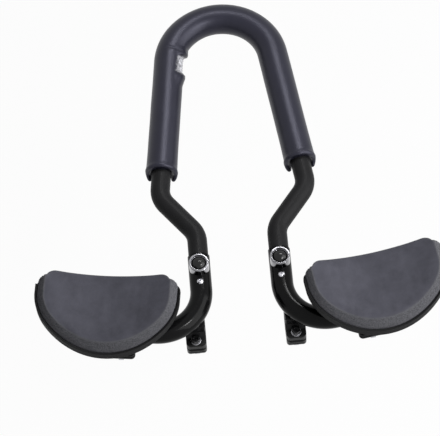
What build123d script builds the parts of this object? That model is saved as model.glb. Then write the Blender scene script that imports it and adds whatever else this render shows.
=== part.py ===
from build123d import *
import math
import os

# Clip-on aero handlebar extension.
# Origin: on the handlebar axis, midway between the two clamps.
# X runs along the handlebar to the rider's right, Y forward, Z up. Millimetres.

# Handlebar clamps
BAR_D = 25.4
LINER_T = 1.3
CLAMP_X = 50.0
CLAMP_W = 20.0
CLAMP_WALL = 4.6
EAR_REACH = 25.5
EAR_T = 8.0
EAR_GAP = 2.4
CLAMP_BOLT_Y = 19.6
CRADLE_WRAP = 5.0
EDGE_BREAK = 0.7
EAR_ROUND = 1.6
EAR_CORNER = 4.5
FRONT_TRIM_X = 10.5
FRONT_TRIM_Y = 19.0
FRONT_BOLT_IN = 4.2
CRADLE_ROOT = 6.0
CRADLE_SHARE = 1.35

# Tubes: the arms lie in one level plane with the loop
ARM_Z = 30.0
ARM_D = 22.2
ARM_WALL = 1.0
ARM_X = 40.5
ARM_MOUTH_Y = 62.5
ARM_BEND_Y = 25.5
ARM_BEND_R = 42.5
ARM_TURN = 98.0
ARM_REACH = 76.0
LOOP_D = 20.0
LOOP_WALL = 1.5
LOOP_STOP = 1.2
LOOP_KNEE_Y = 89.0
LOOP_HIP_X = 75.0
LOOP_HIP_Y = 133.6
LOOP_BEND_R = 25.0
CROWN_Y = 288.0
CROWN_R = 55.0

# Foam sleeve on the loop
FOAM_D = 31.5
FOAM_FIT = 0.1
FOAM_END_Y = 162.0
NOTCH_LEN = 15.0
NOTCH_HALF = 10.5
NOTCH_TIP = 1.5
TEAR_R = 4.6
TEAR_TURN = 188.0

# Length adjusters: carriage bolt, ferrule, saddle washer and cap nut, with a lock screw behind
ADJ_Y = 46.8
ADJ_BOLT_D = 6.0
LOCK_BACK = 16.5
LOCK_D = 4.0
LOCK_HOLE_D = 4.4
LOCK_HEAD_D = 6.4
LOCK_HEAD_H = 1.7
LOCK_KEY = 2.0
ADJ_HOLE_D = 6.6
DOME_D = 15.5
DOME_H = 4.6
FERRULE_D = 20.0
FERRULE_H = 9.0
FERRULE_CUP = 2.6
SEAT_D = 16.0
SEAT_T = 4.0
CAP_NUT_AF = 10.0
CAP_NUT_H = 5.0

# Arm rests
BRACKET_ALONG = 32.5
PAD_OUT = 14.2
PAD_FORWARD = 4.7
BRACKET_W = 28.0
BRACKET_WALL = 4.4
BRACKET_REAR = 28.0
BRACKET_FRONT = 27.0
BRACKET_EAR_T = 3.0
BRACKET_SLIT = 1.6
BRACKET_CORNER = 4.0
PLATE_T = 7.0
PLATE_WRAP = 3.0
PINCH_BOLT_Y = 23.4
PINCH_HEAD_H = 2.8
CUP_RISE = 16.0
CUP_W = 142.5
CUP_L = 84.5
CUP_T = 3.0
CUP_LIP = 6.4
CUP_LIP_GAP = 0.4
CUP_LIP_FREE = 18.0
CUP_FRONT_IN = 8.5
DISH_R = 175.0
HOOK_T = 1.5
HOOK_INSET = 14.0
PAD_W = 137.5
PAD_L = 79.5
PAD_T = 13.5
PAD_BEVEL = 7.0
PAD_DROP = 8.0
BROW_REACH = 6.5
BROW_T = 4.5
OUTLINE_CORNER = 7.0
CREST_CORNER = 11.0
OUTLINE_SIDE = 25.0
OUTLINE_TURN = 43.0
CUP_SCREW_X = 8.0
CUP_SCREW_Y = 18.5

# M5 hardware
M5_D = 5.0
M5_HOLE = 5.4
M5_HEAD_D = 8.5
M5_HEAD_H = 5.0
M5_KEY = 4.0
M5_WASHER_D = 10.0
M5_WASHER_T = 1.0
M5_NUT_AF = 8.0
M5_NUT_H = 4.0
HEAD_ROOM = 0.3

# Derived sizes
BAR_R = BAR_D / 2
BORE_R = BAR_R + LINER_T
CLAMP_R = BORE_R + CLAMP_WALL
EAR_TOP = EAR_GAP / 2 + EAR_T
ARM_R = ARM_D / 2
ARM_IN_R = ARM_R - ARM_WALL
LOOP_R = LOOP_D / 2
LOOP_IN_R = LOOP_R - LOOP_WALL
LOOP_IN_Y = ARM_BEND_Y + LOOP_STOP
LOCK_Y = ADJ_Y - LOCK_BACK
FOAM_R = FOAM_D / 2
ARM_TOP = ARM_Z + ARM_R
ARM_LOW = ARM_Z - ARM_R
FERRULE_TOP = ARM_TOP + FERRULE_H
DOME_Z = FERRULE_TOP - FERRULE_CUP
SEAT_LOW = ARM_LOW - SEAT_T
BRACKET_R = ARM_R + BRACKET_WALL
CUP_Z = ARM_Z + CUP_RISE
CUP_IN_R = DISH_R - CUP_T
HOOK_IN_R = CUP_IN_R - HOOK_T
PAD_IN_R = HOOK_IN_R - PAD_T
DISH_Z = CUP_Z + DISH_R
STACK_TOP = EAR_TOP + M5_WASHER_T
STACK_LOW = -EAR_TOP - M5_NUT_H
BRACKET_EAR_TOP = BRACKET_SLIT / 2 + BRACKET_EAR_T
PLATE_H = PLATE_T + PLATE_WRAP
PLATE_REAR = PINCH_BOLT_Y - M5_WASHER_D / 2 - 3 * HEAD_ROOM


def dome(radius, height):
    # Height and middle point of a spherical cap on a flat head
    ball = (radius ** 2 + height ** 2) / (2 * height)
    half = math.asin(min(1.0, radius / ball)) / 2
    return ball * math.sin(half), height - ball * (1 - math.cos(half))


def cap_screw(length, head_h):
    # Socket screw: the underside of the head is at the origin, the shank points down
    with BuildPart() as screw:
        with BuildSketch():
            Circle(M5_HEAD_D / 2)
        extrude(amount=head_h)
        chamfer(screw.edges().group_by(Axis.Z)[-1], length=0.5)
        with BuildSketch(Plane.XY.offset(head_h)):
            RegularPolygon(M5_KEY / 2, 6, major_radius=False)
        extrude(amount=-head_h / 2, mode=Mode.SUBTRACT)
        with BuildSketch():
            Circle(M5_D / 2)
        extrude(amount=-length)
        chamfer(screw.edges().group_by(Axis.Z)[0], length=0.5)
    return screw.part


def ring(outer_d, inner_d, height):
    # Plain washer standing on the origin
    with BuildPart() as washer:
        with BuildSketch():
            Circle(outer_d / 2)
            Circle(inner_d / 2, mode=Mode.SUBTRACT)
        extrude(amount=height)
    return washer.part


def hex_nut(flats, bore, height):
    # Plain nut standing on the origin
    with BuildPart() as nut:
        with BuildSketch():
            RegularPolygon(flats / 2, 6, major_radius=False)
            Circle(bore / 2, mode=Mode.SUBTRACT)
        extrude(amount=height)
    return nut.part


def end_edges(piece, axis, skip_r):
    # Outline edges of a piece's two end faces, leaving out those of its bore
    faces = piece.faces().filter_by(axis).sort_by(axis)
    found = []
    for face in (faces[0], faces[-1]):
        for edge in face.outer_wire().edges():
            if edge.geom_type != GeomType.CIRCLE or abs(edge.radius - skip_r) > 0.01:
                found.append(edge)
    return found


def clamp_plan():
    # Top view of a clamp: the front ear is cut back on its outer side, under the arm's bend
    half = CLAMP_W / 2
    with BuildSketch(Plane.XY, mode=Mode.PRIVATE) as plan:
        Polygon(
            (-half, -EAR_REACH),
            (half, -EAR_REACH),
            (half, EAR_REACH - FRONT_TRIM_Y),
            (half - FRONT_TRIM_X, EAR_REACH),
            (-half, EAR_REACH),
            align=None,
        )
        fillet(plan.vertices(), radius=EAR_CORNER)
    return plan.sketch


def rest_outline(width, length, spare=0.0, corner=0.0):
    # Plan of the arm rest: straight front and sides, and a back of three arcs that run into
    # each other. Outlines of other sizes stay parallel; spare moves the front edge out and
    # corner makes the two front corners rounder
    half = width / 2
    grow = half - PAD_W / 2
    side_y = PAD_L / 2 - OUTLINE_SIDE
    front_y = length / 2 + spare
    depth = side_y + length / 2
    turn_r = OUTLINE_TURN + grow
    back_r = (half ** 2 - 2 * half * turn_r + depth ** 2) / (2 * (depth - turn_r))
    turn = math.degrees(math.atan2(back_r - depth, half - turn_r))
    with BuildSketch(Plane.XY, mode=Mode.PRIVATE) as plan:
        with BuildLine():
            right_turn = JernArc((half, side_y), (0, -1), turn_r, -turn)
            back = JernArc(right_turn @ 1, right_turn % 1, back_r, 2 * turn - 180)
            left_turn = JernArc(back @ 1, back % 1, turn_r, -turn)
            Polyline(left_turn @ 1, (-half, front_y), (half, front_y), (half, side_y))
        make_face()
        corners = plan.vertices().group_by(Axis.Y)[-1]
        fillet(corners, radius=max(OUTLINE_CORNER + grow + corner, OUTLINE_CORNER / 2))
    return plan.sketch


# Arm centreline: back over the bar, then out to the side
with BuildLine() as arm_line:
    arm_fore = Line((ARM_X, ARM_MOUTH_Y, ARM_Z), (ARM_X, ARM_BEND_Y, ARM_Z))
    arm_bend = JernArc(
        start=arm_fore @ 1,
        tangent=arm_fore % 1,
        radius=ARM_BEND_R,
        arc_size=ARM_TURN,
    )
    arm_out = Line(arm_bend @ 1, (arm_bend @ 1) + (arm_bend % 1) * ARM_REACH)
out_dir = arm_bend % 1
out_end = arm_out @ 1

# Loop centreline: legs lean in and touch the crown circle
leg_dx = -LOOP_HIP_X
leg_dy = CROWN_Y - LOOP_HIP_Y
leg_far = math.hypot(leg_dx, leg_dy)
leg_angle = math.atan2(leg_dy, leg_dx) - math.asin(CROWN_R / leg_far)
leg_run = math.sqrt(leg_far ** 2 - CROWN_R ** 2)
leg_dir = Vector(math.cos(leg_angle), math.sin(leg_angle), 0)
hip = Vector(LOOP_HIP_X, LOOP_HIP_Y, ARM_Z)
touch = hip + leg_dir * leg_run
crown_start = math.degrees(leg_angle) - 90
crown_span = 180 - 2 * crown_start
foam_run = (FOAM_END_Y - LOOP_HIP_Y) / leg_dir.Y
foam_end = hip + leg_dir * foam_run

with BuildLine() as loop_line:
    FilletPolyline(
        (ARM_X, LOOP_IN_Y, ARM_Z),
        (ARM_X, LOOP_KNEE_Y, ARM_Z),
        hip,
        touch,
        radius=LOOP_BEND_R,
    )
    mirror(about=Plane.YZ)
    CenterArc((0, CROWN_Y, ARM_Z), CROWN_R, crown_start, crown_span)

with BuildLine() as foam_line:
    Line(foam_end, touch)
    mirror(about=Plane.YZ)
    CenterArc((0, CROWN_Y, ARM_Z), CROWN_R, crown_start, crown_span)

# Arm rest frames: along the side run of the arm, and under the pad
rest_at = (arm_bend @ 1) + out_dir * BRACKET_ALONG
tube_plane = Plane(origin=rest_at, x_dir=out_dir, z_dir=(0, 0, 1))
pad_at = rest_at + out_dir * PAD_OUT + tube_plane.y_dir * PAD_FORWARD
pad_plane = Plane(origin=(pad_at.X, pad_at.Y, CUP_Z), x_dir=out_dir, z_dir=(0, 0, 1))
dish_plane = Plane(
    origin=(pad_at.X, pad_at.Y, DISH_Z), x_dir=out_dir, z_dir=-tube_plane.y_dir
)
section_plane = Plane(origin=rest_at, x_dir=tube_plane.y_dir, z_dir=out_dir)
clamp_plane = Plane(origin=(CLAMP_X, 0, 0), x_dir=(0, 1, 0), z_dir=(1, 0, 0))
clamp_floor = Plane(origin=(CLAMP_X, 0, -ARM_Z), x_dir=(1, 0, 0), z_dir=(0, 0, 1))
clamp_front = (CLAMP_X - FRONT_BOLT_IN, CLAMP_BOLT_Y)
clamp_rear = (CLAMP_X, -CLAMP_BOLT_Y)
clamp_spots = [clamp_front, clamp_rear]

# Solid envelope of the arm, used to shape whatever is seated on it
with BuildPart() as arm_envelope:
    with BuildSketch(Plane(origin=arm_line.line @ 0, z_dir=arm_line.line % 0)):
        Circle(ARM_R)
    sweep(path=arm_line.line)

# Loop tube with a cross hole for each adjuster
with BuildPart() as loop_tube:
    with BuildSketch(Plane(origin=(ARM_X, LOOP_IN_Y, ARM_Z), z_dir=(0, 1, 0))):
        Circle(LOOP_R)
        Circle(LOOP_IN_R, mode=Mode.SUBTRACT)
    sweep(path=loop_line.wires()[0])
    with BuildSketch(Plane.XY.offset(ARM_Z - LOOP_D)):
        with Locations((ARM_X, ADJ_Y), (-ARM_X, ADJ_Y)):
            Circle(ADJ_HOLE_D / 2)
    extrude(amount=2 * LOOP_D, mode=Mode.SUBTRACT)

# Foam sleeve, open-mouthed below at both ends and torn on the inner left side
with BuildPart() as foam_grip:
    with BuildSketch(Plane(origin=foam_end, z_dir=leg_dir)):
        Circle(FOAM_R)
        Circle(LOOP_R + FOAM_FIT, mode=Mode.SUBTRACT)
    sweep(path=foam_line.wires()[0])
    for side in (1, -1):
        mouth = Plane(
            origin=(side * foam_end.X, foam_end.Y, ARM_Z - 1),
            x_dir=(side * leg_dir.Y, -leg_dir.X, 0),
            z_dir=(0, 0, 1),
        )
        with BuildSketch(mouth):
            Polygon(
                (-NOTCH_HALF, -NOTCH_HALF / 2),
                (NOTCH_HALF, -NOTCH_HALF / 2),
                (NOTCH_HALF, 0),
                (NOTCH_TIP, NOTCH_LEN),
                (-NOTCH_TIP, NOTCH_LEN),
                (-NOTCH_HALF, 0),
                align=None,
            )
        extrude(amount=-FOAM_D, mode=Mode.SUBTRACT)
    tear_r = CROWN_R - FOAM_R
    for turn, scale in ((-10.5, 0.8), (-3.0, 1.0), (4.5, 0.9), (10.5, 0.6)):
        tear_at = math.radians(TEAR_TURN + turn)
        tear_x = tear_r * math.cos(tear_at)
        tear_y = CROWN_Y + tear_r * math.sin(tear_at)
        with Locations((tear_x + 1.0, tear_y, ARM_Z + 3)):
            Sphere(TEAR_R * scale, mode=Mode.SUBTRACT)

# Arm: one bent tube, socket in front, holes for the adjuster and the lock screw
with BuildPart() as right_arm:
    with BuildSketch(Plane(origin=arm_line.line @ 0, z_dir=arm_line.line % 0)):
        Circle(ARM_R)
        Circle(ARM_IN_R, mode=Mode.SUBTRACT)
    sweep(path=arm_line.line)
    with BuildSketch(Plane.XY.offset(ARM_Z - ARM_D)):
        with Locations((ARM_X, ADJ_Y)):
            Circle(ADJ_HOLE_D / 2)
    extrude(amount=2 * ARM_D, mode=Mode.SUBTRACT)
    with BuildSketch(Plane.XY.offset(ARM_Z)):
        with Locations((ARM_X, LOCK_Y)):
            Circle(LOCK_HOLE_D / 2)
    extrude(amount=ARM_D, mode=Mode.SUBTRACT)

# End plug: domed flange with a spigot inside the tube
plug_plane = Plane(origin=out_end, x_dir=(0, 0, 1), z_dir=out_dir)
with BuildPart() as right_arm_plug:
    with BuildSketch(plug_plane):
        Circle(ARM_R)
    extrude(amount=3.0)
    rims = right_arm_plug.edges().filter_by(GeomType.CIRCLE)
    fillet(rims.sort_by_distance(out_end + out_dir * 60)[0], radius=2.0)
    with BuildSketch(plug_plane):
        Circle(ARM_IN_R)
        Circle(ARM_IN_R - 2.0, mode=Mode.SUBTRACT)
    extrude(amount=-12.0)

# Upper clamp half: half ring, two ears and a cradle shaped to the arm
with BuildPart() as right_clamp_saddle:
    with BuildSketch(clamp_plane):
        Circle(CLAMP_R)
        with Locations((0, EAR_GAP / 2 + EAR_T / 2)):
            RectangleRounded(2 * EAR_REACH, EAR_T, EAR_ROUND)
        with Locations((0, (CLAMP_R + ARM_LOW + CRADLE_WRAP - CRADLE_ROOT) / 2)):
            Rectangle(CLAMP_R * CRADLE_SHARE, ARM_LOW + CRADLE_WRAP - CLAMP_R + CRADLE_ROOT)
        Circle(BORE_R, mode=Mode.SUBTRACT)
        with Locations((0, EAR_GAP / 2 - CLAMP_R)):
            Rectangle(4 * CLAMP_R, 2 * CLAMP_R, mode=Mode.SUBTRACT)
    extrude(amount=CLAMP_W / 2, both=True)
    chamfer(end_edges(right_clamp_saddle, Axis.X, BORE_R), length=EDGE_BREAK)
    with BuildSketch(clamp_floor):
        add(clamp_plan())
    extrude(amount=3 * ARM_Z, mode=Mode.INTERSECT)
    with BuildSketch(Plane.XY.offset(-ARM_Z)):
        with Locations(clamp_spots):
            Circle(M5_HOLE / 2)
    extrude(amount=2 * ARM_Z, mode=Mode.SUBTRACT)
    with BuildSketch(Plane.XY.offset(EAR_TOP)):
        with Locations(clamp_spots):
            Circle(M5_WASHER_D / 2 + HEAD_ROOM)
    extrude(amount=ARM_Z, mode=Mode.SUBTRACT)
    add(arm_envelope.part, mode=Mode.SUBTRACT)

# Lower clamp half with two grip grooves on the rear ear
with BuildPart() as right_clamp_cap:
    with BuildSketch(clamp_plane):
        Circle(CLAMP_R)
        with Locations((0, -EAR_GAP / 2 - EAR_T / 2)):
            RectangleRounded(2 * EAR_REACH, EAR_T, EAR_ROUND)
        Circle(BORE_R, mode=Mode.SUBTRACT)
        with Locations((0, CLAMP_R - EAR_GAP / 2)):
            Rectangle(4 * CLAMP_R, 2 * CLAMP_R, mode=Mode.SUBTRACT)
        with Locations((-EAR_REACH, -EAR_GAP / 2 - EAR_T / 2)):
            Rectangle(1.6, 1.2, mode=Mode.SUBTRACT)
    extrude(amount=CLAMP_W / 2, both=True)
    chamfer(end_edges(right_clamp_cap, Axis.X, BORE_R), length=EDGE_BREAK / 2)
    with BuildSketch(clamp_floor):
        add(clamp_plan())
    extrude(amount=3 * ARM_Z, mode=Mode.INTERSECT)
    with BuildSketch(Plane.XY.offset(-ARM_Z)):
        with Locations(clamp_spots):
            Circle(M5_HOLE / 2)
    extrude(amount=ARM_Z, mode=Mode.SUBTRACT)
    with BuildSketch(Plane.XY.offset(-EAR_TOP)):
        with Locations(clamp_spots):
            Circle(M5_WASHER_D / 2 + HEAD_ROOM)
    extrude(amount=-ARM_Z, mode=Mode.SUBTRACT)

# Rubber half liners between clamp and bar
with BuildPart() as right_liner_upper:
    with BuildSketch(clamp_plane):
        Circle(BORE_R)
        Circle(BAR_R, mode=Mode.SUBTRACT)
        with Locations((0, EAR_GAP / 2 - CLAMP_R)):
            Rectangle(4 * CLAMP_R, 2 * CLAMP_R, mode=Mode.SUBTRACT)
    extrude(amount=CLAMP_W / 2, both=True)

with BuildPart() as right_liner_lower:
    with BuildSketch(clamp_plane):
        Circle(BORE_R)
        Circle(BAR_R, mode=Mode.SUBTRACT)
        with Locations((0, CLAMP_R - EAR_GAP / 2)):
            Rectangle(4 * CLAMP_R, 2 * CLAMP_R, mode=Mode.SUBTRACT)
    extrude(amount=CLAMP_W / 2, both=True)

# Clamp fasteners: the rear screw goes in from above, the front one from below
clamp_screw = cap_screw(STACK_TOP - STACK_LOW + 1.5, M5_HEAD_H)
m5_washer = ring(M5_WASHER_D, M5_HOLE, M5_WASHER_T)
m5_nut = hex_nut(M5_NUT_AF, M5_D, M5_NUT_H)
rear_top = Location((*clamp_rear, STACK_TOP))
front_low = Location((*clamp_front, -STACK_TOP), (180, 0, 0))

with BuildPart() as right_clamp_bolts:
    add(clamp_screw.moved(rear_top))
    add(clamp_screw.moved(front_low))

with BuildPart() as right_clamp_washers:
    add(m5_washer.moved(Location((*clamp_rear, EAR_TOP))))
    add(m5_washer.moved(Location((*clamp_front, -STACK_TOP))))

with BuildPart() as right_clamp_nuts:
    add(m5_nut.moved(Location((*clamp_rear, STACK_LOW))))
    add(m5_nut.moved(Location((*clamp_front, EAR_TOP))))

# Ferrule: turned cup on the arm, square hole for the neck of the bolt
adj_plane = Plane(origin=(ARM_X, ADJ_Y, ARM_Z), x_dir=(1, 0, 0), z_dir=(0, 0, 1))
with BuildPart() as right_adjuster_ferrule:
    with BuildSketch(adj_plane):
        Circle(FERRULE_D / 2)
    extrude(amount=FERRULE_TOP - ARM_Z)
    rim = right_adjuster_ferrule.edges().group_by(Axis.Z)[-1]
    fillet(rim, radius=0.9)
    with BuildSketch(adj_plane.offset(DOME_Z - ARM_Z)):
        Circle(DOME_D / 2 + 0.3)
    extrude(amount=FERRULE_H, mode=Mode.SUBTRACT)
    with BuildSketch(adj_plane):
        Rectangle(ADJ_HOLE_D, ADJ_HOLE_D)
    extrude(amount=FERRULE_H * 4, mode=Mode.SUBTRACT)
    add(arm_envelope.part, mode=Mode.SUBTRACT)

# Carriage bolt: plain dome, square neck, round shank
dome_x, dome_y = dome(DOME_D / 2, DOME_H)
bolt_low = SEAT_LOW - CAP_NUT_H - 1.0
turn_plane = Plane(origin=(ARM_X, ADJ_Y, DOME_Z), x_dir=(1, 0, 0), z_dir=(0, -1, 0))
adj_axis = Axis((ARM_X, ADJ_Y, 0), (0, 0, 1))
with BuildPart() as right_adjuster_bolt:
    with BuildSketch(turn_plane):
        with BuildLine():
            Polyline((0, DOME_H), (0, 0), (DOME_D / 2, 0))
            ThreePointArc((DOME_D / 2, 0), (dome_x, dome_y), (0, DOME_H))
        make_face()
    revolve(axis=adj_axis)
    with BuildSketch(Plane.XY.offset(DOME_Z)):
        with Locations((ARM_X, ADJ_Y)):
            Rectangle(ADJ_BOLT_D, ADJ_BOLT_D)
    extrude(amount=-3.0)
    with BuildSketch(Plane.XY.offset(DOME_Z)):
        with Locations((ARM_X, ADJ_Y)):
            Circle(ADJ_BOLT_D / 2)
    extrude(amount=bolt_low - DOME_Z)

# Lock screw: low domed head on the arm, tip resting on the loop inside
lock_x, lock_y = dome(LOCK_HEAD_D / 2, LOCK_HEAD_H)
lock_plane = Plane(origin=(ARM_X, LOCK_Y, ARM_TOP), x_dir=(1, 0, 0), z_dir=(0, -1, 0))
with BuildPart() as right_lock_screw:
    with BuildSketch(Plane.XY.offset(ARM_TOP - LOCK_HEAD_H)):
        with Locations((ARM_X, LOCK_Y)):
            Circle(LOCK_HEAD_D / 2)
    extrude(amount=LOCK_HEAD_H)
    with BuildSketch(lock_plane):
        with BuildLine():
            Polyline((0, LOCK_HEAD_H), (0, 0), (LOCK_HEAD_D / 2, 0))
            ThreePointArc((LOCK_HEAD_D / 2, 0), (lock_x, lock_y), (0, LOCK_HEAD_H))
        make_face()
    revolve(axis=Axis((ARM_X, LOCK_Y, 0), (0, 0, 1)))
    add(arm_envelope.part, mode=Mode.SUBTRACT)
    with BuildSketch(Plane.XY.offset(ARM_Z + LOOP_R)):
        with Locations((ARM_X, LOCK_Y)):
            Circle(LOCK_D / 2)
    extrude(amount=ARM_R - LOOP_R + LOCK_HEAD_H / 2)
    with BuildSketch(Plane.XY.offset(ARM_TOP + LOCK_HEAD_H)):
        with Locations((ARM_X, LOCK_Y)):
            RegularPolygon(LOCK_KEY / 2, 6, major_radius=False)
    extrude(amount=-LOCK_HEAD_H, mode=Mode.SUBTRACT)

# Saddle washer under the arm and the cap nut below it
with BuildPart() as right_adjuster_seat:
    with BuildSketch(Plane.XY.offset(SEAT_LOW)):
        with Locations((ARM_X, ADJ_Y)):
            Circle(SEAT_D / 2)
            Circle(ADJ_HOLE_D / 2, mode=Mode.SUBTRACT)
    extrude(amount=ARM_Z - SEAT_LOW)
    add(arm_envelope.part, mode=Mode.SUBTRACT)

nut_plane = Plane(origin=(ARM_X, ADJ_Y, SEAT_LOW), x_dir=(1, 0, 0), z_dir=(0, 0, -1))
nut_dome_x, nut_dome_y = dome(CAP_NUT_AF / 2 - 0.3, CAP_NUT_AF / 2 - 0.8)
nut_turn = Plane(
    origin=(ARM_X, ADJ_Y, SEAT_LOW - CAP_NUT_H), x_dir=(1, 0, 0), z_dir=(0, 1, 0)
)
with BuildPart() as right_adjuster_nut:
    with BuildSketch(nut_plane):
        RegularPolygon(CAP_NUT_AF / 2, 6, major_radius=False)
    extrude(amount=CAP_NUT_H)
    with BuildSketch(nut_turn):
        with BuildLine():
            Polyline((0, CAP_NUT_AF / 2 - 0.8), (0, 0), (CAP_NUT_AF / 2 - 0.3, 0))
            ThreePointArc(
                (CAP_NUT_AF / 2 - 0.3, 0),
                (nut_dome_x, nut_dome_y),
                (0, CAP_NUT_AF / 2 - 0.8),
            )
        make_face()
    revolve(axis=adj_axis)
    with BuildSketch(nut_plane):
        Circle(ADJ_BOLT_D / 2)
    extrude(amount=CAP_NUT_H + 1.2, mode=Mode.SUBTRACT)

# Arm rest bracket: pinch ring on the arm, ears behind, and a plate dished to the cup above
with BuildPart() as right_bracket:
    with BuildSketch(section_plane):
        Circle(BRACKET_R)
        with Locations((-BRACKET_REAR / 2, 0)):
            Rectangle(BRACKET_REAR, 2 * BRACKET_EAR_TOP)
        with Locations((-BRACKET_REAR, 0)):
            Rectangle(2 * BRACKET_REAR, BRACKET_SLIT, mode=Mode.SUBTRACT)
    extrude(amount=BRACKET_W / 2, both=True)
    ear_ends = (
        right_bracket.edges()
        .filter_by(Axis.Z)
        .sort_by_distance(rest_at - tube_plane.y_dir * 20 * BRACKET_REAR)[0:4]
    )
    fillet(ear_ends, radius=BRACKET_CORNER)
    with BuildSketch(section_plane.offset(-BRACKET_W / 2)):
        with Locations(((BRACKET_FRONT - PLATE_REAR) / 2, CUP_RISE + PLATE_WRAP - PLATE_H / 2)):
            Rectangle(BRACKET_FRONT + PLATE_REAR, PLATE_H)
    extrude(amount=BRACKET_W + PAD_OUT)
    with BuildSketch(section_plane.offset(-BRACKET_W)):
        Circle(ARM_R)
    extrude(amount=3 * BRACKET_W, mode=Mode.SUBTRACT)
    with BuildSketch(tube_plane):
        with Locations((0, -PINCH_BOLT_Y)):
            Circle(M5_HOLE / 2)
    extrude(amount=2 * BRACKET_R, both=True, mode=Mode.SUBTRACT)
    with BuildSketch(tube_plane.offset(BRACKET_EAR_TOP)):
        with Locations((0, -PINCH_BOLT_Y)):
            Circle(M5_WASHER_D / 2 + HEAD_ROOM)
    extrude(amount=2 * BRACKET_R, mode=Mode.SUBTRACT)
    with BuildSketch(tube_plane):
        with Locations((PAD_OUT + CUP_SCREW_X, CUP_SCREW_Y), (PAD_OUT - CUP_SCREW_X, CUP_SCREW_Y)):
            Circle(M5_D / 2 + 0.05)
    extrude(amount=2 * CUP_RISE, mode=Mode.SUBTRACT)
    with BuildSketch(dish_plane):
        Circle(DISH_R)
    extrude(amount=CUP_L, both=True, mode=Mode.SUBTRACT)

pinch_screw = cap_screw(2 * BRACKET_EAR_TOP + M5_WASHER_T + M5_NUT_H + 1.5, PINCH_HEAD_H)
pinch_top = tube_plane.location * Location((0, -PINCH_BOLT_Y, BRACKET_EAR_TOP + M5_WASHER_T))
pinch_mid = tube_plane.location * Location((0, -PINCH_BOLT_Y, BRACKET_EAR_TOP))
pinch_low = tube_plane.location * Location((0, -PINCH_BOLT_Y, -BRACKET_EAR_TOP - M5_NUT_H))

with BuildPart() as right_bracket_bolt:
    add(pinch_screw.moved(pinch_top))

with BuildPart() as right_bracket_washer:
    add(m5_washer.moved(pinch_mid))

with BuildPart() as right_bracket_nut:
    add(m5_nut.moved(pinch_low))

# Cup: dished half-moon shell with countersunk screw holes
screw_y = CUP_SCREW_Y - PAD_FORWARD
screw_spots = [(CUP_SCREW_X, screw_y), (-CUP_SCREW_X, screw_y)]
screw_head_r = M5_HEAD_D / 2
with BuildPart() as cup_lip:
    with BuildSketch(pad_plane.offset(-6)):
        add(rest_outline(CUP_W, CUP_L))
        add(
            rest_outline(PAD_W + 2 * CUP_LIP_GAP, PAD_L + 2 * CUP_LIP_GAP),
            mode=Mode.SUBTRACT,
        )
        # The lip holds the sides and back of the pad and leaves its front free
        with Locations((0, CUP_L - CUP_LIP_FREE)):
            Rectangle(2 * CUP_W, CUP_L, mode=Mode.SUBTRACT)
    extrude(amount=60)
    with BuildSketch(dish_plane):
        Circle(CUP_IN_R)
        Circle(CUP_IN_R - CUP_LIP, mode=Mode.SUBTRACT)
    extrude(amount=CUP_L, both=True, mode=Mode.INTERSECT)

with BuildPart() as right_cup:
    with BuildSketch(pad_plane.offset(-6)):
        add(rest_outline(CUP_W, CUP_L, -CUP_FRONT_IN))
    extrude(amount=60)
    with BuildSketch(dish_plane):
        Circle(DISH_R)
        Circle(CUP_IN_R, mode=Mode.SUBTRACT)
    extrude(amount=CUP_L, both=True, mode=Mode.INTERSECT)
    add(cup_lip.part)
    with BuildSketch(pad_plane.offset(-6)):
        with Locations(screw_spots):
            Circle(M5_D / 2 + 0.2)
    extrude(amount=20, mode=Mode.SUBTRACT)
    with BuildSketch(pad_plane.offset(CUP_T - 1.4)):
        with Locations(screw_spots):
            Circle(screw_head_r + 0.2)
    extrude(amount=6, mode=Mode.SUBTRACT)

with BuildPart() as right_cup_screws:
    with BuildSketch(pad_plane.offset(CUP_T - 1.4)):
        with Locations(screw_spots):
            Circle(screw_head_r)
    extrude(amount=1.4)
    with BuildSketch(pad_plane.offset(CUP_T)):
        with Locations(screw_spots):
            RegularPolygon(1.5, 6, major_radius=False)
    extrude(amount=-0.8, mode=Mode.SUBTRACT)
    with BuildSketch(pad_plane.offset(CUP_T - 1.4)):
        with Locations(screw_spots):
            Circle(M5_D / 2)
    extrude(amount=-8.0)

# Hook-and-loop layer
with BuildPart() as right_hook_strip:
    with BuildSketch(pad_plane.offset(-6)):
        add(rest_outline(PAD_W - 2 * HOOK_INSET, PAD_L - 2 * HOOK_INSET))
    extrude(amount=60)
    with BuildSketch(dish_plane):
        Circle(CUP_IN_R)
        Circle(HOOK_IN_R, mode=Mode.SUBTRACT)
    extrude(amount=CUP_L, both=True, mode=Mode.INTERSECT)

# Pad: dished cushion with a wide bevel at the sides and back and an upright front, where
# the top runs out into a thin brow with rounded corners
crest_spare = 1.1 * PAD_BEVEL
crest_corner = CREST_CORNER + PAD_BEVEL - OUTLINE_CORNER
with BuildPart() as pad_brow:
    with BuildSketch(pad_plane.offset(-6)):
        add(
            rest_outline(
                PAD_W - 2 * PAD_BEVEL, PAD_L - 2 * PAD_BEVEL, PAD_BEVEL, crest_corner
            )
        )
    extrude(amount=80)
    with BuildSketch(dish_plane):
        Circle(PAD_IN_R + BROW_T)
        Circle(PAD_IN_R, mode=Mode.SUBTRACT)
    extrude(amount=CUP_L, both=True, mode=Mode.INTERSECT)

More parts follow.
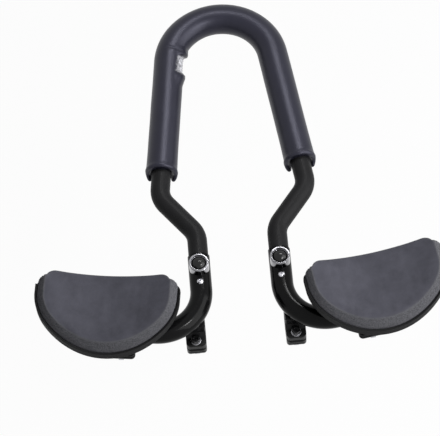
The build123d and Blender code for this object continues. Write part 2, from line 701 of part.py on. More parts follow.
with BuildPart() as right_pad:
    with BuildSketch(pad_plane.offset(-6)):
        add(rest_outline(PAD_W, PAD_L, crest_spare, crest_corner))
    extrude(amount=80)
    with BuildSketch(dish_plane):
        Circle(HOOK_IN_R)
        Circle(PAD_IN_R, mode=Mode.SUBTRACT)
    extrude(amount=CUP_L, both=True, mode=Mode.INTERSECT)
    top_face = right_pad.faces().sort_by(Axis.Z).filter_by(GeomType.CYLINDER)
    crest = [f for f in top_face if abs(f.radius - PAD_IN_R) < 0.01][0]
    chamfer(crest.edges(), length=PAD_BEVEL, length2=PAD_DROP, reference=crest)
    with BuildSketch(pad_plane.offset(-6)):
        add(rest_outline(PAD_W, PAD_L, -BROW_REACH))
    extrude(amount=80, mode=Mode.INTERSECT)
    add(pad_brow.part)

os.makedirs("parts", exist_ok=True)

loop_tube.part.label = "loop_tube"
export_step(loop_tube.part, "parts/loop_tube.step")
foam_grip.part.label = "foam_grip"
export_step(foam_grip.part, "parts/foam_grip.step")

right_side = {
    "arm": right_arm,
    "arm_plug": right_arm_plug,
    "clamp_saddle": right_clamp_saddle,
    "clamp_cap": right_clamp_cap,
    "liner_upper": right_liner_upper,
    "liner_lower": right_liner_lower,
    "clamp_bolts": right_clamp_bolts,
    "clamp_washers": right_clamp_washers,
    "clamp_nuts": right_clamp_nuts,
    "adjuster_ferrule": right_adjuster_ferrule,
    "adjuster_bolt": right_adjuster_bolt,
    "adjuster_seat": right_adjuster_seat,
    "adjuster_nut": right_adjuster_nut,
    "lock_screw": right_lock_screw,
    "bracket": right_bracket,
    "bracket_bolt": right_bracket_bolt,
    "bracket_washer": right_bracket_washer,
    "bracket_nut": right_bracket_nut,
    "cup": right_cup,
    "cup_screws": right_cup_screws,
    "hook_strip": right_hook_strip,
    "pad": right_pad,
}

# The left side is the mirror image of the right
for node, built in right_side.items():
    built.part.label = "right_" + node
    export_step(built.part, "parts/right_" + node + ".step")
    with BuildPart() as left_piece:
        add(built.part)
        mirror(about=Plane.YZ, mode=Mode.REPLACE)
    left_piece.part.label = "left_" + node
    export_step(left_piece.part, "parts/left_" + node + ".step")
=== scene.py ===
import math

import bpy
from mathutils import Matrix, Vector, geometry, noise


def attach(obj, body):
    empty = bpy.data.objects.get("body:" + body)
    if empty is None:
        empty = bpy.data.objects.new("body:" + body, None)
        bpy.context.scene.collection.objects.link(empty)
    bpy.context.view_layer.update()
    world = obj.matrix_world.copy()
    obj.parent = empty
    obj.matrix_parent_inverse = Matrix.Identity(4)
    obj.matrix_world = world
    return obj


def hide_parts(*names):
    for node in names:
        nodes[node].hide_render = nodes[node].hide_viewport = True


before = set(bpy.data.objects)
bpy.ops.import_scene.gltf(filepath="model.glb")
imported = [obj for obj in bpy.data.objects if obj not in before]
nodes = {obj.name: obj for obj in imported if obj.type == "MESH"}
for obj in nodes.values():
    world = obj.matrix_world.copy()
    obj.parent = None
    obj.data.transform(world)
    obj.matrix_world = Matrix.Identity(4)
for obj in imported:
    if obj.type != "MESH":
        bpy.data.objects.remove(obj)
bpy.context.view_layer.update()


MM = 0.001

# Sizes shared with the solids, in millimetres
ARM_Z = 30.0
ARM_X = 40.5
TURN = math.radians(98.0)
BEND_R = 42.5
BEND_Y = 25.5
CROWN_Y = 288.0
CROWN_R = 55.0
HIP_X = 75.0
HIP_Y = 133.6
FOAM_R = 15.75
FOAM_IN = 10.15
FOAM_END_Y = 162.0
PAD_W = 137.5
PAD_L = 79.5
PAD_BEVEL = 7.0
PAD_CORNER = 7.0
CREST_CORNER = 11.0
BROW_REACH = 6.5
BROW_LOW = 0.60
SIDE_RUN = 25.0
BACK_TURN = 43.0
PAD_ALONG = 46.7
PAD_FORWARD = 4.7
HOOK_IN_R = 170.5
PAD_IN_R = 157.0
DISH_Z = 221.0


# Materials
def material(name):
    # New material with one principled shader, ready to be wired
    mat = bpy.data.materials.new(name)
    mat.use_nodes = True
    tree = mat.node_tree
    tree.nodes.clear()
    out = tree.nodes.new("ShaderNodeOutputMaterial")
    bsdf = tree.nodes.new("ShaderNodeBsdfPrincipled")
    tree.links.new(bsdf.outputs["BSDF"], out.inputs["Surface"])
    return mat, tree, bsdf


def coords(tree):
    return tree.nodes.new("ShaderNodeTexCoord").outputs["Object"]


def noise_tex(tree, scale, detail=4.0, rough=0.55, vector=None):
    n = tree.nodes.new("ShaderNodeTexNoise")
    n.inputs["Scale"].default_value = scale
    n.inputs["Detail"].default_value = detail
    n.inputs["Roughness"].default_value = rough
    tree.links.new(vector or coords(tree), n.inputs["Vector"])
    return n.outputs["Fac"]


def grey(level, blue=1.06):
    return (level, level, level * blue)


def ramp(tree, fac, low, high, start=0.3, end=0.7):
    r = tree.nodes.new("ShaderNodeValToRGB")
    first, last = r.color_ramp.elements
    first.position = start
    first.color = (*low, 1)
    last.position = end
    last.color = (*high, 1)
    tree.links.new(fac, r.inputs["Fac"])
    return r.outputs["Color"]


def span(tree, fac, low, high):
    m = tree.nodes.new("ShaderNodeMapRange")
    m.inputs["To Min"].default_value = low
    m.inputs["To Max"].default_value = high
    tree.links.new(fac, m.inputs["Value"])
    return m.outputs["Result"]


def combine(tree, kind, a, b):
    m = tree.nodes.new("ShaderNodeMath")
    m.operation = kind
    tree.links.new(a, m.inputs[0])
    tree.links.new(b, m.inputs[1])
    return m.outputs[0]


def blend(tree, fac, a, b):
    m = tree.nodes.new("ShaderNodeMix")
    m.data_type = "RGBA"
    tree.links.new(fac, m.inputs["Factor"])
    tree.links.new(a, m.inputs["A"])
    tree.links.new(b, m.inputs["B"])
    return m.outputs["Result"]


def painted(tree, name):
    n = tree.nodes.new("ShaderNodeAttribute")
    n.attribute_name = name
    return n.outputs["Fac"]


def bump(tree, bsdf, height, strength, distance, edge=0.0):
    b = tree.nodes.new("ShaderNodeBump")
    b.inputs["Strength"].default_value = strength
    b.inputs["Distance"].default_value = distance
    tree.links.new(height, b.inputs["Height"])
    tree.links.new(b.outputs["Normal"], bsdf.inputs["Normal"])
    if edge > 0:
        soft = tree.nodes.new("ShaderNodeBevel")
        soft.samples = 6
        soft.inputs["Radius"].default_value = edge * MM
        tree.links.new(soft.outputs["Normal"], b.inputs["Normal"])


def finish_mat(name, tone, rough, metal=0.0, scale=900.0, grain=0.1, edge=0.0, shine=0.5):
    # Plain finish: tone and roughness each drift between two values, with a fine grain on top
    mat, tree, bsdf = material(name)
    fine = noise_tex(tree, scale)
    broad = noise_tex(tree, 45.0, 3.0)
    tree.links.new(ramp(tree, broad, grey(tone[0]), grey(tone[1])), bsdf.inputs["Base Color"])
    tree.links.new(span(tree, broad, rough[0], rough[1]), bsdf.inputs["Roughness"])
    bsdf.inputs["Metallic"].default_value = metal
    bsdf.inputs["Specular IOR Level"].default_value = shine
    bump(tree, bsdf, fine, grain, 0.2 * MM, edge)
    return mat


def foam_look():
    # Skinned foam: charcoal with a violet cast and fine cells, mottled pale where torn
    mat, tree, bsdf = material("foam")
    vec = coords(tree)
    cells = noise_tex(tree, 1500.0, 6.0, 0.6, vec)
    mottle = noise_tex(tree, 60.0, 4.0, 0.6, vec)
    skin = ramp(tree, mottle, (0.007, 0.007, 0.013), (0.011, 0.011, 0.019))
    raw = ramp(tree, noise_tex(tree, 300.0, 3.0, 0.6, vec), grey(0.08), grey(0.70), 0.34, 0.66)
    tree.links.new(blend(tree, painted(tree, "torn"), skin, raw), bsdf.inputs["Base Color"])
    tree.links.new(span(tree, mottle, 0.34, 0.40), bsdf.inputs["Roughness"])
    bsdf.inputs["Specular IOR Level"].default_value = 0.38
    bsdf.inputs["Specular Tint"].default_value = (0.82, 0.82, 1.0, 1)
    bump(tree, bsdf, cells, 0.2, 0.4 * MM)
    return mat


def pad_look():
    # Grey brushed knit: fine ribs and fuzz, grainier on the bevel, with a painted highlight line along
    # its crest and along the seam where it meets the cup
    mat, tree, bsdf = material("pad_fabric")
    vec = coords(tree)
    fuzz = noise_tex(tree, 1800.0, 6.0, 0.7, vec)
    broad = noise_tex(tree, 40.0, 6.0, 0.7, vec)
    speck = noise_tex(tree, 900.0, 2.0, 0.6, vec)
    top = ramp(tree, broad, grey(0.062, 1.23), grey(0.091, 1.23))
    band = ramp(tree, speck, grey(0.060, 1.1), grey(0.135, 1.1))
    cloth = blend(tree, painted(tree, "band"), top, band)
    # Painted highlight: a lighter, unevenly strong line mixed in along the bevel's crest and along the
    # seam with the cup
    painted_highlight = combine(tree, "MULTIPLY", painted(tree, "crest"), span(tree, broad, 0.1, 0.6))
    edge = ramp(tree, fuzz, grey(0.12), grey(0.16))
    tree.links.new(blend(tree, painted_highlight, cloth, edge), bsdf.inputs["Base Color"])
    tree.links.new(span(tree, fuzz, 0.8, 0.95), bsdf.inputs["Roughness"])
    bsdf.inputs["Specular IOR Level"].default_value = 0.08
    bsdf.inputs["Sheen Weight"].default_value = 0.05
    bsdf.inputs["Sheen Roughness"].default_value = 0.55
    wave = tree.nodes.new("ShaderNodeTexWave")
    wave.inputs["Scale"].default_value = 420.0
    wave.inputs["Distortion"].default_value = 9.0
    wave.inputs["Detail"].default_value = 3.0
    wave.inputs["Detail Scale"].default_value = 3.0
    tree.links.new(vec, wave.inputs["Vector"])
    bump(tree, bsdf, combine(tree, "ADD", wave.outputs["Fac"], fuzz), 0.3, 0.3 * MM)
    return mat


satin_black = finish_mat("loop_satin", (0.010, 0.014), (0.42, 0.50), scale=1400, grain=0.12, shine=0.1)
arm_gloss = finish_mat("arm_gloss", (0.004, 0.006), (0.13, 0.17), scale=260, grain=0.02, shine=0.09)
plastic = finish_mat("black_plastic", (0.009, 0.013), (0.5, 0.6), 0, 1600, 0.3, edge=0.6, shine=0.06)
clamp_paint = finish_mat("clamp_paint", (0.007, 0.011), (0.3, 0.38), 0, 700, edge=0.6, shine=0.12)
rubber = finish_mat("liner_rubber", (0.018, 0.026), (0.7, 0.8), grain=0.3, shine=0.1)
dark_steel = finish_mat("dark_steel", (0.02, 0.04), (0.22, 0.32), 1.0, 1500, edge=0.3)
zinc = finish_mat("zinc_steel", (0.50, 0.64), (0.22, 0.34), 1.0, 1800, edge=0.3)
chrome = finish_mat("chrome", (0.14, 0.36), (0.05, 0.12), 1.0, 320, 0.4, edge=0.4)
bolt_black = finish_mat("bolt_black", (0.006, 0.010), (0.14, 0.20), scale=500, grain=0.02, shine=0.28)
hook = finish_mat("hook_loop", (0.012, 0.03), (0.85, 0.95), scale=1300, grain=1.0, shine=0.1)
foam_mat = foam_look()
pad_mat = pad_look()

looks = {
    "loop_tube": satin_black,
    "foam_grip": foam_mat,
    "arm": arm_gloss,
    "arm_plug": plastic,
    "clamp_saddle": clamp_paint,
    "clamp_cap": clamp_paint,
    "liner_upper": rubber,
    "liner_lower": rubber,
    "clamp_bolts": dark_steel,
    "clamp_washers": zinc,
    "clamp_nuts": zinc,
    "adjuster_ferrule": chrome,
    "adjuster_bolt": bolt_black,
    "adjuster_seat": chrome,
    "adjuster_nut": chrome,
    "lock_screw": zinc,
    "bracket": plastic,
    "bracket_bolt": zinc,
    "bracket_washer": zinc,
    "bracket_nut": zinc,
    "cup": plastic,
    "cup_screws": zinc,
    "hook_strip": hook,
    "pad": pad_mat,
}
for name, obj in nodes.items():
    key = name.split("_", 1)[1] if name.startswith(("left_", "right_")) else name
    obj.data.materials.clear()
    obj.data.materials.append(looks[key])


def new_mesh(name, verts, faces, mat, marks):
    # Smooth mesh from millimetres, with one painted value a vertex under each mark's name
    mesh = bpy.data.meshes.new(name)
    mesh.from_pydata([(x * MM, y * MM, z * MM) for x, y, z in verts], [], faces)
    mesh.update()
    mesh.shade_smooth()
    mesh.materials.append(mat)
    for mark, values in marks.items():
        attr = mesh.attributes.new(mark, "FLOAT", "POINT")
        attr.data.foreach_set("value", values)
    obj = bpy.data.objects.new(name, mesh)
    bpy.context.scene.collection.objects.link(obj)
    return obj


def clamp01(value):
    return max(0.0, min(1.0, value))


# Foam sleeve, along the same centreline as the tube
leg_far = math.hypot(HIP_X, CROWN_Y - HIP_Y)
leg_angle = math.atan2(CROWN_Y - HIP_Y, -HIP_X) - math.asin(CROWN_R / leg_far)
leg_run = math.sqrt(leg_far ** 2 - CROWN_R ** 2)
leg = Vector((math.cos(leg_angle), math.sin(leg_angle), 0))
touch = Vector((HIP_X, HIP_Y, ARM_Z)) + leg * leg_run
foam_run = leg_run - (FOAM_END_Y - HIP_Y) / leg.y
crown_start = leg_angle - math.pi / 2
crown_len = CROWN_R * (math.pi - 2 * crown_start)
foam_len = 2 * foam_run + crown_len

# Places along the sleeve: both ends of the tear, cut on a slant, and the crease above it
TORN_FROM = foam_run + crown_len - 8.5
TORN_TO = TORN_FROM + 22.0
TORN_SLANT = 7.7
CREASE_AT = foam_run + crown_len - 10.0
# Depths and swellings at the tear: the heel lies above it and the flap below it
TORN_DEEP = 1.6
CREASE_DEEP = 0.5
LUMP_HIGH = 2.4
HEEL_LONG = 15.0
FLAP_LONG = 16.0
# Mouths: the notch below, the horns beside it, and how far the bore stands off the tube
MOUTH_RUN = 34.0
MOUTH_GAPE = 18.0
GAPE_WIDE = 0.85
HORN_LONG = 4.5
HORN_AT = 1.0
STAND_OFF = 3.2
LIP = 2.8
# Mesh: points around, and steps along beside the tear and elsewhere
AROUND = 96
FINE_STEP = 0.6
STEP = 1.5
FINE_PAST = 24


def foam_point(s):
    # Centreline point and direction at length s from the right mouth
    if s < foam_run:
        return touch - leg * (foam_run - s), leg
    if s > foam_run + crown_len:
        back = Vector((leg.x, -leg.y, 0))
        start = Vector((-touch.x, touch.y, ARM_Z))
        return start + back * (s - foam_run - crown_len), back
    a = crown_start + (s - foam_run) / CROWN_R
    spot = Vector((CROWN_R * math.cos(a), CROWN_Y + CROWN_R * math.sin(a), ARM_Z))
    return spot, Vector((-math.sin(a), math.cos(a), 0))


def mouth_gape(under, v, seed):
    # How far the end is drawn back: a wide notch below, with a pointed horn on each side of it
    gape = MOUTH_GAPE * max(0.0, 1 - under / GAPE_WIDE) ** 0.8
    gape -= HORN_LONG * math.exp(-((under - HORN_AT) / 0.3) ** 2)
    return gape + 0.35 * noise.noise((v * 2.0, seed, 1.0))


def tear_share(at, v, facing, up):
    # Ragged strip of raw foam on the inner side of the left leg, from 0 to 1
    rag = 0.30 * noise.noise(Vector((at * 0.45, v * 5.0, 2.0)))
    rag += 0.18 * noise.noise(Vector((at * 1.3, v * 12.0, 5.0)))
    reach = facing + 0.25 * max(up, 0.0) + 0.35 * rag
    ends = clamp01((at - TORN_FROM) / 1.2) * clamp01((TORN_TO - at) / 1.2)
    return ends * clamp01((reach - 0.76) / 0.22)


def lobe(at, thin, blunt):
    # Swelling that grows from nothing at one place and ends bluntly at the other
    run = (at - thin) / (blunt - thin)
    return clamp01(run / 0.6) * clamp01((1 - run) / 0.2)


def skin_radius(at, v, t, fade, under, ray, p):
    # Outer radius of the sleeve and how torn it is there
    r = FOAM_R + 0.16 * noise.noise(Vector((p.x, p.y, v * 20)) * 0.035)
    r += 0.9 * fade * math.exp(-((under - HORN_AT) / 0.7) ** 2)
    r += 0.7 * math.exp(-((t - 2.6) / 2.0) ** 2)
    if t < LIP:
        r -= 1.6 * (1 - math.sqrt(max(0.0, 1 - (1 - t / LIP) ** 2)))
    inner = Vector((0, CROWN_Y - 12, ARM_Z)) - p
    inner.normalize()
    facing = ray.dot(inner)
    cut = at - TORN_SLANT * ray.z
    torn = tear_share(cut, v, facing, ray.z)
    depth = TORN_DEEP * torn * (0.85 + 0.3 * noise.noise(Vector((at * 0.8, v * 8.0, 9.0))))
    lump = lobe(cut, TORN_FROM - HEEL_LONG, TORN_FROM) + lobe(cut, TORN_TO + FLAP_LONG, TORN_TO)
    lump *= clamp01((facing - 0.5) / 0.4)
    wander = 1.2 * noise.noise(Vector((v * 3.0, 4.0, 8.0)))
    crease = math.exp(-((at - CREASE_AT - wander) / 1.7) ** 2) * clamp01(ray.z * 1.6 - 0.2)
    crease *= clamp01((facing + 0.35) / 0.35)
    r += LUMP_HIGH * lump - CREASE_DEEP * crease - depth
    return max(r, FOAM_IN + 0.25), torn


def bore_radius(t, fade, under):
    # Inner radius: close on the tube, standing off it at the mouths
    r = FOAM_IN + STAND_OFF * fade * fade * math.exp(-((under - HORN_AT) / 0.8) ** 2)
    if t < LIP:
        r += 0.8 * (1 - math.sqrt(max(0.0, 1 - (1 - t / LIP) ** 2)))
    return r


def foam_stations():
    # Lengths along the sleeve: crowded at the rounded ends and round the tear
    ends = [0.0, 0.12, 0.35, 0.7, 1.2, 1.9, LIP]
    mid = []
    s = LIP
    while s < foam_len - LIP - 1.6:
        s += FINE_STEP if TORN_FROM - FINE_PAST < s < TORN_TO + FINE_PAST else STEP
        mid.append(s)
    return ends + mid + [foam_len - e for e in reversed(ends)]


def foam_spot(s, v, outside):
    # One point of the sleeve's skin or bore, and how torn it is; v is measured from the underside
    t = min(s, foam_len - s)
    fade = max(0.0, 1 - t / MOUTH_RUN) ** 2
    first_half = s < foam_len / 2
    under = abs((v + math.pi) % (2 * math.pi) - math.pi)
    push = fade * mouth_gape(under, v, 7.0 if first_half else 3.0)
    at = s + push if first_half else s - push
    p, d = foam_point(at)
    ray = Vector((d.y, -d.x, 0)) * math.sin(v) - Vector((0, 0, math.cos(v)))
    if outside:
        r, mark = skin_radius(at, v, t, fade, under, ray, p)
        return p + ray * r, mark
    return p + ray * bore_radius(t, fade, under), 0.0


def foam_faces(rows):
    # Quads of the skin, then of the bore, then of the two end rings that join them
    faces = []
    for layer in range(2):
        base = layer * rows * AROUND
        for i in range(rows - 1):
            for k in range(AROUND):
                n = (k + 1) % AROUND
                low = base + i * AROUND
                high = low + AROUND
                quad = (low + k, low + n, high + n, high + k)
                faces.append(quad if layer == 0 else quad[::-1])
    for i in (0, rows - 1):
        for k in range(AROUND):
            a = i * AROUND + k
            b = i * AROUND + (k + 1) % AROUND
            quad = (a, b, rows * AROUND + b, rows * AROUND + a)
            faces.append(quad[::-1] if i == 0 else quad)
    return faces


def make_foam():
    stations = foam_stations()
    verts = []
    torn = []
    for outside in (True, False):
        for s in stations:
            for k in range(AROUND):
                spot, mark = foam_spot(s, 2 * math.pi * k / AROUND, outside)
                verts.append(spot)
                torn.append(mark)
    return new_mesh("foam_sleeve", verts, foam_faces(len(stations)), foam_mat, {"torn": torn})


foam = make_foam()
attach(foam, "root")
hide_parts("foam_grip")

# Forearm pads: outline of straight front and sides and a back of three arcs
HALF = PAD_W / 2
SIDE_Y = PAD_L / 2 - SIDE_RUN
DEPTH = SIDE_Y + PAD_L / 2
TURN_X = HALF - BACK_TURN
BACK_R = (HALF ** 2 - 2 * HALF * BACK_TURN + DEPTH ** 2) / (2 * (DEPTH - BACK_TURN))
BACK_Y = BACK_R - PAD_L / 2
MID_Y = 4.0
RING = 240
HALVINGS = 26
FILL_PITCH = 1.8
SWELL_MOST = 0.9
SWELL_FRAMES = 12


def beyond(x, y, inset, front, corner):
    # How far a point lies outside the outline drawn in by an inset; below zero inside it
    x = abs(x)
    if y > SIDE_Y:
        dx = x - (HALF - inset - corner)
        dy = y - (front - corner)
        if dx > 0 and dy > 0:
            return math.hypot(dx, dy) - corner
        return max(dx, dy) - corner
    if x * (BACK_Y - SIDE_Y) < TURN_X * (BACK_Y - y):
        return math.hypot(x, y - BACK_Y) - (BACK_R - inset)
    return math.hypot(x - TURN_X, y - SIDE_Y) - (BACK_TURN - inset)


def reach_to(angle, inset, front, corner):
    # Distance from the pad's middle to the outline, by halving
    c = math.cos(angle)
    s = math.sin(angle)
    low = 0.0
    high = PAD_W
    for turn in range(HALVINGS):
        mid = (low + high) / 2
        if beyond(mid * c, MID_Y + mid * s, inset, front, corner) < 0:
            low = mid
        else:
            high = mid
    return low


def pad_ring(inset, front_inset, share):
    # The bevel is drawn past the front, where the upright front face trims it; the top runs
    # out beyond that face into a thin brow
    front = PAD_L / 2 - front_inset
    brow = clamp01((share - BROW_LOW) / 0.06)
    ring = []
    for k in range(RING):
        angle = 2 * math.pi * (k + 0.5) / RING
        spare = PAD_L / 2 + 1.1 * PAD_BEVEL - inset
        sloped = reach_to(angle, inset, spare, max(CREST_CORNER + PAD_BEVEL - inset, 2.0))
        reach = min(sloped, reach_to(angle, 0.0, front - BROW_REACH, PAD_CORNER) - 0.03 * inset)
        out = reach_to(angle, max(PAD_BEVEL, inset), front, CREST_CORNER) - 0.03 * inset
        reach += brow * max(0.0, out - reach)
        ring.append((reach * math.cos(angle), MID_Y + reach * math.sin(angle)))
    return ring


def fill_points(ring, pitch):
    # Even triangle pattern of points inside a ring, clear of its edge
    points = []
    step_y = pitch * math.sqrt(3) / 2
    rows = int(PAD_L / step_y / 2) + 1
    cols = int(PAD_W / pitch / 2) + 1
    for j in range(-rows, rows + 1):
        for i in range(-cols, cols + 1):
            x = (i + 0.5 * (j % 2)) * pitch
            y = j * step_y
            angle = math.atan2(y - MID_Y, x) % (2 * math.pi)
            rim_x, rim_y = ring[int(angle / (2 * math.pi) * RING) % RING]
            if math.hypot(x, y - MID_Y) < math.hypot(rim_x, rim_y - MID_Y) - 0.8 * pitch:
                points.append((x, y))
    return points


def fill_faces(ring, extra):
    # Triangles that close a ring over the extra points; ring points come first
    flat = [Vector(q) for q in ring + extra]
    loop = [(k, (k + 1) % RING) for k in range(RING)]
    cut = geometry.delaunay_2d_cdt(flat, loop, [], 1, 1e-5)
    source = [ids[0] for ids in cut[3]]
    return [[source[v] for v in face] for face in cut[2]]


out_dir = Vector((math.sin(TURN), -math.cos(TURN), 0))
fore_dir = Vector((-out_dir.y, out_dir.x, 0))
bend_end = Vector((ARM_X + BEND_R - BEND_R * math.cos(TURN), BEND_Y - BEND_R * math.sin(TURN), 0))
pad_at = bend_end + out_dir * PAD_ALONG + fore_dir * PAD_FORWARD

# Pad profile from below: inset, inset at the front, height share, bevel band, painted highlight line
# (along the crest and along the seam with the cup)
PROFILE = (
    (2.2, 1.6, 0.000, 0.0, 0.0),
    (0.6, 0.4, 0.020, 0.0, 0.0),
    (0.15, 0.1, 0.10, 0.0, 0.0),
    (0.0, 0.0, 0.250, 0.2, 0.0),
    (0.05, 0.0, 0.37, 0.5, 0.3),
    (0.4, 0.0, 0.440, 0.9, 0.6),
    (1.5, 0.0, 0.540, 1.0, 0.0),
    (2.4, 0.3, 0.612, 1.0, 0.0),
    (2.5, 0.3, 0.625, 1.0, 0.0),
    (3.2, 0.1, 0.680, 1.0, 0.0),
    (5.0, 0.1, 0.830, 1.0, 0.0),
    (6.1, 0.2, 0.920, 1.0, 0.2),
    (6.7, 0.4, 0.960, 0.8, 1.0),
    (7.3, 0.8, 0.980, 0.3, 0.8),
    (8.4, 1.6, 0.988, 0.0, 0.1),
    (10.0, 3.0, 0.994, 0.0, 0.0),
)


def pad_spot(side, x, y, share):
    # Point of the dished pad, between its underside and its top
    low = DISH_Z - math.sqrt(HOOK_IN_R ** 2 - x * x)
    high = DISH_Z - math.sqrt(PAD_IN_R ** 2 - x * x)
    z = low + (high - low) * share
    if share > 0.9:
        z += 0.35 * noise.noise(Vector((x * side, y, 4.0 * side)) * 0.03)
    p = pad_at + out_dir * x + fore_dir * y
    return (side * p.x, p.y, z)


def make_pad(name, side):
    marks = {"band": [], "crest": [], "height": []}
    verts = []
    faces = []

    def put(x, y, share, band=0.0, crest=0.0):
        verts.append(pad_spot(side, x, y, share))
        marks["band"].append(band)
        marks["crest"].append(crest)
        marks["height"].append(share)

    def close(row, ring, share, flip):
        extra = fill_points(ring, FILL_PITCH)
        first = len(verts) - RING
        for x, y in extra:
            put(x, y, share)
        for face in fill_faces(ring, extra):
            found = [row + v if v < RING else first + v for v in face]
            faces.append(found[::-1] if flip else found)

    rings = [pad_ring(*step[:3]) for step in PROFILE]
    for ring, step in zip(rings, PROFILE):
        for x, y in ring:
            put(x, y, *step[2:])
    for i in range(len(PROFILE) - 1):
        for k in range(RING):
            n = (k + 1) % RING
            low = i * RING
            quad = (low + k, low + n, low + RING + n, low + RING + k)
            faces.append(quad[::-1] if side < 0 else quad)
    close((len(PROFILE) - 1) * RING, rings[-1], 1.0, side < 0)
    close(0, rings[0], 0.0, side > 0)
    return new_mesh(name, verts, faces, pad_mat, marks)


def swell(obj, most):
    # A short run of cloth under pressure rounds the pad like a stuffed cover; its wall stays put
    start = [v.co.copy() for v in obj.data.vertices]
    mod = obj.modifiers.new("cloth", "CLOTH")
    cfg = mod.settings
    cfg.quality = 5
    cfg.mass = 0.3
    cfg.use_pressure = True
    cfg.uniform_pressure_force = 4.0
    cfg.effector_weights.gravity = 0
    cfg.tension_stiffness = 40
    cfg.compression_stiffness = 40
    cfg.bending_stiffness = 8
    for f in range(1, SWELL_FRAMES + 1):
        bpy.context.scene.frame_set(f)
    deps = bpy.context.evaluated_depsgraph_get()
    moved = [v.co.copy() for v in obj.evaluated_get(deps).data.vertices]
    obj.modifiers.remove(mod)
    bpy.context.scene.frame_set(1)
    height = obj.data.attributes["height"].data
    for v, a, b, share in zip(obj.data.vertices, start, moved, height):
        step = b - a
        cap = most * clamp01((share.value - 0.3) / 0.5)
        if step.length > cap:
            step *= cap / step.length
        v.co = a + step
    obj.data.update()


for name, side in (("pad_right", 1), ("pad_left", -1)):
    pad = make_pad(name, side)
    swell(pad, SWELL_MOST * MM)
    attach(pad, "root")
    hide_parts("right_pad" if side > 0 else "left_pad")

# Stage: white floor far below the held part, and soft lights
scene = bpy.context.scene
SHADOW_SHARE = 0.06
WORLD_LIGHT = 0.08
FLOOR_Z = -0.55
FLOOR_SIZE = 12


def mix_shader(tree, fac, first, second):
    mix = tree.nodes.new("ShaderNodeMixShader")
    if isinstance(fac, float):
        mix.inputs["Fac"].default_value = fac
    else:
        tree.links.new(fac, mix.inputs["Fac"])
    tree.links.new(first, mix.inputs[1])
    tree.links.new(second, mix.inputs[2])
    return mix.outputs["Shader"]


def seen_or_lit(tree, seen, lit):
    # One shader for what is seen, directly or in a reflection, another for the light it sends out
    path = tree.nodes.new("ShaderNodeLightPath").outputs
    shiny = combine(tree, "MAXIMUM", path["Is Glossy Ray"], path["Is Transmission Ray"])
    sight = combine(tree, "MAXIMUM", path["Is Camera Ray"], shiny)
    return mix_shader(tree, sight, lit, seen)


def backdrop(tree, colour, strength):
    node = tree.nodes.new("ShaderNodeBackground")
    node.inputs["Color"].default_value = (*colour, 1)
    node.inputs["Strength"].default_value = strength
    return node.outputs["Background"]


def make_world():
    world = bpy.data.worlds.new("studio")
    world.use_nodes = True
    tree = world.node_tree
    tree.nodes.clear()
    out = tree.nodes.new("ShaderNodeOutputWorld")
    seen = backdrop(tree, (1, 1, 1), 1.0)
    lit = backdrop(tree, (0.93, 0.96, 1.0), WORLD_LIGHT)
    tree.links.new(seen_or_lit(tree, seen, lit), out.inputs["Surface"])
    return world


def make_floor():
    mat = bpy.data.materials.new("floor")
    mat.use_nodes = True
    tree = mat.node_tree
    tree.nodes.clear()
    out = tree.nodes.new("ShaderNodeOutputMaterial")
    matt = tree.nodes.new("ShaderNodeBsdfDiffuse")
    tone = ramp(tree, noise_tex(tree, 6.0), (0.80, 0.80, 0.80), (0.84, 0.84, 0.84))
    tree.links.new(tone, matt.inputs["Color"])
    glow = tree.nodes.new("ShaderNodeEmission")
    glow.inputs["Strength"].default_value = 1.0
    # A share of the matt floor stays in what is seen, so that it keeps the shadow
    shaded = mix_shader(tree, SHADOW_SHARE, glow.outputs["Emission"], matt.outputs["BSDF"])
    upper = seen_or_lit(tree, shaded, matt.outputs["BSDF"])
    # From below the floor is clear, so that the underside of the part can be looked at
    below = tree.nodes.new("ShaderNodeNewGeometry").outputs["Backfacing"]
    clear = tree.nodes.new("ShaderNodeBsdfTransparent").outputs["BSDF"]
    tree.links.new(mix_shader(tree, below, upper, clear), out.inputs["Surface"])
    bpy.ops.mesh.primitive_plane_add(size=FLOOR_SIZE, location=(0, 0, FLOOR_Z))
    floor = bpy.context.object
    floor.name = "floor"
    floor.data.materials.append(mat)


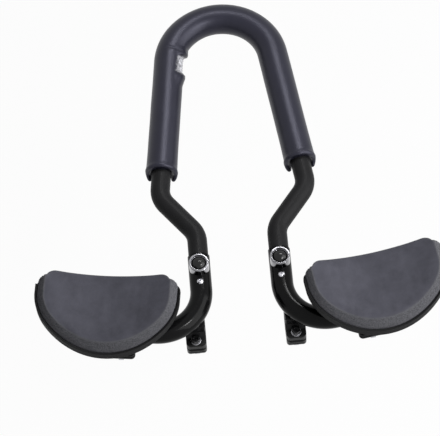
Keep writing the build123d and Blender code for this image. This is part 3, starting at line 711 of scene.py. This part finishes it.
def area(name, spot, aim, size_xy, power, colour):
    light = bpy.data.lights.new(name, "AREA")
    light.shape = "RECTANGLE"
    light.size = size_xy[0]
    light.size_y = size_xy[1]
    light.energy = power
    light.color = colour
    obj = bpy.data.objects.new(name, light)
    obj.location = spot
    obj.rotation_euler = (Vector(aim) - Vector(spot)).to_track_quat("-Z", "Y").to_euler()
    scene.collection.objects.link(obj)


# Lamps: name, place, aim, size, power and colour
WHITE = (1, 1, 1)
LAMPS = (
    ("key", (1.55, -0.5, 1.0), (0, 0.08, 0.03), (2.2, 2.2), 46, WHITE),
    ("fill", (-1.1, 0.3, 1.3), (0, 0.08, 0.03), (0.9, 0.9), 0.2, (0.95, 0.97, 1.0)),
    ("top", (0.42, 1.03, 1.54), (0.42, 0.2, 0.03), (0.9, 0.2), 13, WHITE),
    ("glint", (0.82, -0.60, 1.42), (0, 0, 0.03), (0.34, 0.09), 7, WHITE),
)
scene.world = make_world()
make_floor()
for lamp in LAMPS:
    area(*lamp)

# Camera: far off, rolled a little, for the photograph's nearly parallel view
ELEVATION = math.radians(62.0)
ROLL = math.radians(5.05)
DISTANCE = 2.3
PX_PER_MM = 0.997
IMAGE_W = 440
IMAGE_H = 436
TARGET = (0.0, 56.6, 30.0)
TARGET_PX = (239.2, 259.0)


def make_camera():
    forward = Vector((0, math.cos(ELEVATION), -math.sin(ELEVATION)))
    level = Vector((1, 0, 0))
    upward = level.cross(forward)
    right = level * math.cos(ROLL) - upward * math.sin(ROLL)
    up = upward * math.cos(ROLL) + level * math.sin(ROLL)
    px = MM / PX_PER_MM
    spot = Vector(TARGET) * MM - forward * DISTANCE
    spot -= right * (TARGET_PX[0] - IMAGE_W / 2) * px
    spot += up * (TARGET_PX[1] - IMAGE_H / 2) * px
    data = bpy.data.cameras.new("camera")
    data.sensor_width = 36
    data.lens = 36 * PX_PER_MM * DISTANCE / MM / IMAGE_W
    data.clip_end = 50
    cam = bpy.data.objects.new("camera", data)
    turned = Matrix((right, up, -forward)).transposed().to_4x4()
    cam.matrix_world = Matrix.Translation(spot) @ turned
    scene.collection.objects.link(cam)
    return cam


scene.camera = make_camera()
scene.view_settings.view_transform = "Standard"
